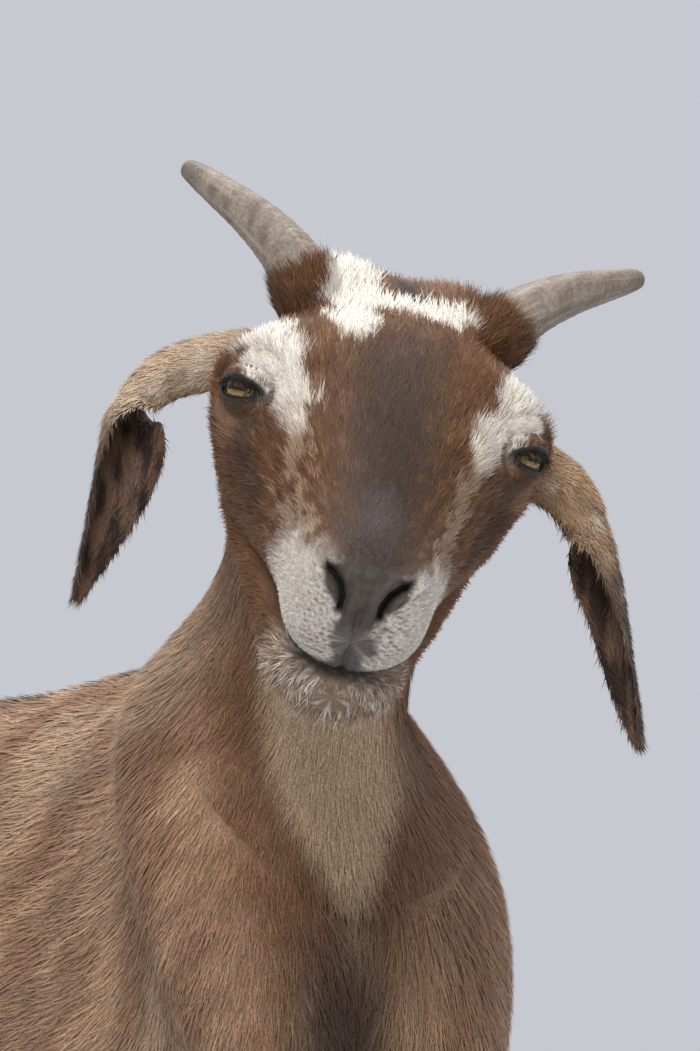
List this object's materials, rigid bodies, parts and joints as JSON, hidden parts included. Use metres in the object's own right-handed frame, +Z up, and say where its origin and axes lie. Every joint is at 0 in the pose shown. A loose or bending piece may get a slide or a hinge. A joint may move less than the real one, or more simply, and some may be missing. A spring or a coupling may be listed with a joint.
{
  "type": "standing goat",
  "caption": "Life-size horned, lop-eared goat standing square with raised neck, turned and tilted head, cloven hooves and short upright tail.",
  "frame": {"origin": "on the ground, under the middle of the bounding box of the whole goat", "axes": "+Z up, -Y the way the body faces (head end), +X towards the left flank"},
  "size_m": [0.3472, 0.9774, 1.0224],
  "materials": {
    "body_hide": "short brown and cream hair over hide",
    "chin_hide": "short white and tan hair over hide",
    "ear_hide": "thin hide with very short cream hair, darker at the rims",
    "nose_skin": "bare damp grey-brown skin",
    "eyelid_skin": "bare dark skin",
    "horn_keratin": "grey-brown ringed keratin",
    "horn_core_bone": "porous bone",
    "hoof_keratin": "dark keratin",
    "eye": "wet amber eye",
    "tooth_enamel": "ivory enamel",
    "mouth_flesh": "moist pink-grey flesh"
  },
  "bodies": {
    "trunk": {"trunk": "body_hide"},
    "tail": {"tail": "body_hide"},
    "lower_neck": {"lower_neck": "body_hide"},
    "upper_neck": {"upper_neck": "body_hide"},
    "neck_top": {"neck_top": "body_hide"},
    "head": {"head": "body_hide", "nose_pad": "nose_skin", "left_horn": "horn_keratin", "right_horn": "horn_keratin", "left_horn_core": "horn_core_bone", "right_horn_core": "horn_core_bone", "left_lower_eyelid": "eyelid_skin", "right_lower_eyelid": "eyelid_skin", "upper_left_cheek_teeth": "tooth_enamel", "upper_right_cheek_teeth": "tooth_enamel", "dental_pad": "mouth_flesh"},
    "jaw": {"lower_jaw": "chin_hide", "tongue": "mouth_flesh", "lower_incisors": "tooth_enamel", "lower_left_cheek_teeth": "tooth_enamel", "lower_right_cheek_teeth": "tooth_enamel"},
    "left_eye": {"left_eyeball": "eye"},
    "left_upper_lid": {"left_upper_eyelid": "eyelid_skin"},
    "left_ear": {"left_ear": "ear_hide"},
    "left_front_upper_arm": {"left_front_upper_arm": "body_hide"},
    "left_front_forearm": {"left_front_forearm": "body_hide"},
    "left_front_cannon": {"left_front_cannon": "body_hide"},
    "left_front_foot": {"left_front_pastern": "body_hide", "left_front_outer_claw": "hoof_keratin", "left_front_inner_claw": "hoof_keratin", "left_front_outer_dewclaw": "hoof_keratin", "left_front_inner_dewclaw": "hoof_keratin"},
    "left_hind_thigh": {"left_hind_thigh": "body_hide"},
    "left_hind_gaskin": {"left_hind_gaskin": "body_hide"},
    "left_hind_cannon": {"left_hind_cannon": "body_hide"},
    "left_hind_foot": {"left_hind_pastern": "body_hide", "left_hind_outer_claw": "hoof_keratin", "left_hind_inner_claw": "hoof_keratin", "left_hind_outer_dewclaw": "hoof_keratin", "left_hind_inner_dewclaw": "hoof_keratin"},
    "right_eye": {"right_eyeball": "eye"},
    "right_upper_lid": {"right_upper_eyelid": "eyelid_skin"},
    "right_ear": {"right_ear": "ear_hide"},
    "right_front_upper_arm": {"right_front_upper_arm": "body_hide"},
    "right_front_forearm": {"right_front_forearm": "body_hide"},
    "right_front_cannon": {"right_front_cannon": "body_hide"},
    "right_front_foot": {"right_front_pastern": "body_hide", "right_front_outer_claw": "hoof_keratin", "right_front_inner_claw": "hoof_keratin", "right_front_outer_dewclaw": "hoof_keratin", "right_front_inner_dewclaw": "hoof_keratin"},
    "right_hind_thigh": {"right_hind_thigh": "body_hide"},
    "right_hind_gaskin": {"right_hind_gaskin": "body_hide"},
    "right_hind_cannon": {"right_hind_cannon": "body_hide"},
    "right_hind_foot": {"right_hind_pastern": "body_hide", "right_hind_outer_claw": "hoof_keratin", "right_hind_inner_claw": "hoof_keratin", "right_hind_outer_dewclaw": "hoof_keratin", "right_hind_inner_dewclaw": "hoof_keratin"}
  },
  "joints": [
    {"name": "neck_raise", "type": "hinge", "parent": "trunk", "child": "lower_neck", "pos_m": [0.01919, -0.2043, 0.65], "axis": [1, 0, 0], "range_deg": [-14, 14]},
    {"name": "neck_side_bend", "type": "hinge", "parent": "lower_neck", "child": "upper_neck", "pos_m": [-0.00381, -0.2583, 0.758], "axis": [0, -0.911, -0.4124], "range_deg": [-14, 14]},
    {"name": "head_turn", "type": "hinge", "parent": "upper_neck", "child": "neck_top", "pos_m": [-0.01481, -0.3013, 0.853], "axis": [-0.1735, -0.4663, 0.8675], "range_deg": [-25, 25]},
    {"name": "head_nod", "type": "hinge", "parent": "neck_top", "child": "head", "pos_m": [-0.03081, -0.3443, 0.933], "axis": [0.8497, -0.471, -0.2368], "range_deg": [-10, 18]},
    {"name": "jaw_open", "type": "hinge", "parent": "head", "child": "jaw", "pos_m": [-0.04933, -0.36307, 0.90387], "axis": [0.8497, -0.471, -0.2368], "range_deg": [0, 16]},
    {"name": "tail_lift", "type": "hinge", "parent": "trunk", "child": "tail", "pos_m": [0.01919, 0.4207, 0.688], "axis": [1, 0, 0], "range_deg": [-50, 15]},
    {"name": "left_eye_look", "type": "hinge", "parent": "head", "child": "left_eye", "pos_m": [-0.02585, -0.43978, 0.88734], "axis": [-0.1084, -0.5957, 0.7958], "range_deg": [-15, 15]},
    {"name": "left_blink", "type": "hinge", "parent": "head", "child": "left_upper_lid", "pos_m": [-0.02585, -0.43978, 0.88734], "axis": [0.9256, 0.3434, -0.1592], "range_deg": [0, 24]},
    {"name": "left_ear_swing", "type": "hinge", "parent": "head", "child": "left_ear", "pos_m": [0.00984, -0.41849, 0.88355], "axis": [0, 0, 1], "range_deg": [-15, 15]},
    {"name": "left_front_shoulder", "type": "hinge", "parent": "trunk", "child": "left_front_upper_arm", "pos_m": [0.11519, -0.2443, 0.54], "axis": [1, 0, 0], "range_deg": [-12, 10]},
    {"name": "left_front_elbow", "type": "hinge", "parent": "left_front_upper_arm", "child": "left_front_forearm", "pos_m": [0.10919, -0.1813, 0.43], "axis": [1, 0, 0], "range_deg": [-30, 5]},
    {"name": "left_front_carpus", "type": "hinge", "parent": "left_front_forearm", "child": "left_front_cannon", "pos_m": [0.10519, -0.1973, 0.25], "axis": [1, 0, 0], "range_deg": [0, 40]},
    {"name": "left_front_fetlock", "type": "hinge", "parent": "left_front_cannon", "child": "left_front_foot", "pos_m": [0.10519, -0.1933, 0.102], "axis": [1, 0, 0], "range_deg": [-12, 25]},
    {"name": "left_hind_hip", "type": "hinge", "parent": "trunk", "child": "left_hind_thigh", "pos_m": [0.11919, 0.3457, 0.6], "axis": [1, 0, 0], "range_deg": [-10, 12]},
    {"name": "left_hind_stifle", "type": "hinge", "parent": "left_hind_thigh", "child": "left_hind_gaskin", "pos_m": [0.12319, 0.2627, 0.452], "axis": [1, 0, 0], "range_deg": [-5, 12]},
    {"name": "left_hind_hock", "type": "hinge", "parent": "left_hind_gaskin", "child": "left_hind_cannon", "pos_m": [0.11319, 0.3927, 0.285], "axis": [1, 0, 0], "range_deg": [-20, 8]},
    {"name": "left_hind_fetlock", "type": "hinge", "parent": "left_hind_cannon", "child": "left_hind_foot", "pos_m": [0.10919, 0.3747, 0.102], "axis": [1, 0, 0], "range_deg": [-12, 25]},
    {"name": "right_eye_look", "type": "hinge", "parent": "head", "child": "right_eye", "pos_m": [-0.12782, -0.38326, 0.91576], "axis": [-0.1084, -0.5957, 0.7958], "range_deg": [-15, 15]},
    {"name": "right_blink", "type": "hinge", "parent": "head", "child": "right_upper_lid", "pos_m": [-0.12782, -0.38326, 0.91576], "axis": [-0.2002, 0.9675, 0.1546], "range_deg": [-24, 0]},
    {"name": "right_ear_swing", "type": "hinge", "parent": "head", "child": "right_ear", "pos_m": [-0.11058, -0.33418, 0.93455], "axis": [0, 0, 1], "range_deg": [-15, 15]},
    {"name": "right_front_shoulder", "type": "hinge", "parent": "trunk", "child": "right_front_upper_arm", "pos_m": [-0.07681, -0.2443, 0.54], "axis": [1, 0, 0], "range_deg": [-12, 10]},
    {"name": "right_front_elbow", "type": "hinge", "parent": "right_front_upper_arm", "child": "right_front_forearm", "pos_m": [-0.07081, -0.1813, 0.43], "axis": [1, 0, 0], "range_deg": [-30, 5]},
    {"name": "right_front_carpus", "type": "hinge", "parent": "right_front_forearm", "child": "right_front_cannon", "pos_m": [-0.06681, -0.1973, 0.25], "axis": [1, 0, 0], "range_deg": [0, 40]},
    {"name": "right_front_fetlock", "type": "hinge", "parent": "right_front_cannon", "child": "right_front_foot", "pos_m": [-0.06681, -0.1933, 0.102], "axis": [1, 0, 0], "range_deg": [-12, 25]},
    {"name": "right_hind_hip", "type": "hinge", "parent": "trunk", "child": "right_hind_thigh", "pos_m": [-0.08081, 0.3457, 0.6], "axis": [1, 0, 0], "range_deg": [-10, 12]},
    {"name": "right_hind_stifle", "type": "hinge", "parent": "right_hind_thigh", "child": "right_hind_gaskin", "pos_m": [-0.08481, 0.2627, 0.452], "axis": [1, 0, 0], "range_deg": [-5, 12]},
    {"name": "right_hind_hock", "type": "hinge", "parent": "right_hind_gaskin", "child": "right_hind_cannon", "pos_m": [-0.07481, 0.3927, 0.285], "axis": [1, 0, 0], "range_deg": [-20, 8]},
    {"name": "right_hind_fetlock", "type": "hinge", "parent": "right_hind_cannon", "child": "right_hind_foot", "pos_m": [-0.07081, 0.3747, 0.102], "axis": [1, 0, 0], "range_deg": [-12, 25]}
  ],
  "couplings": [
    {"joint": "right_eye_look", "follows": "left_eye_look", "ratio": 1},
    {"joint": "right_blink", "follows": "left_blink", "ratio": -1}
  ]
}
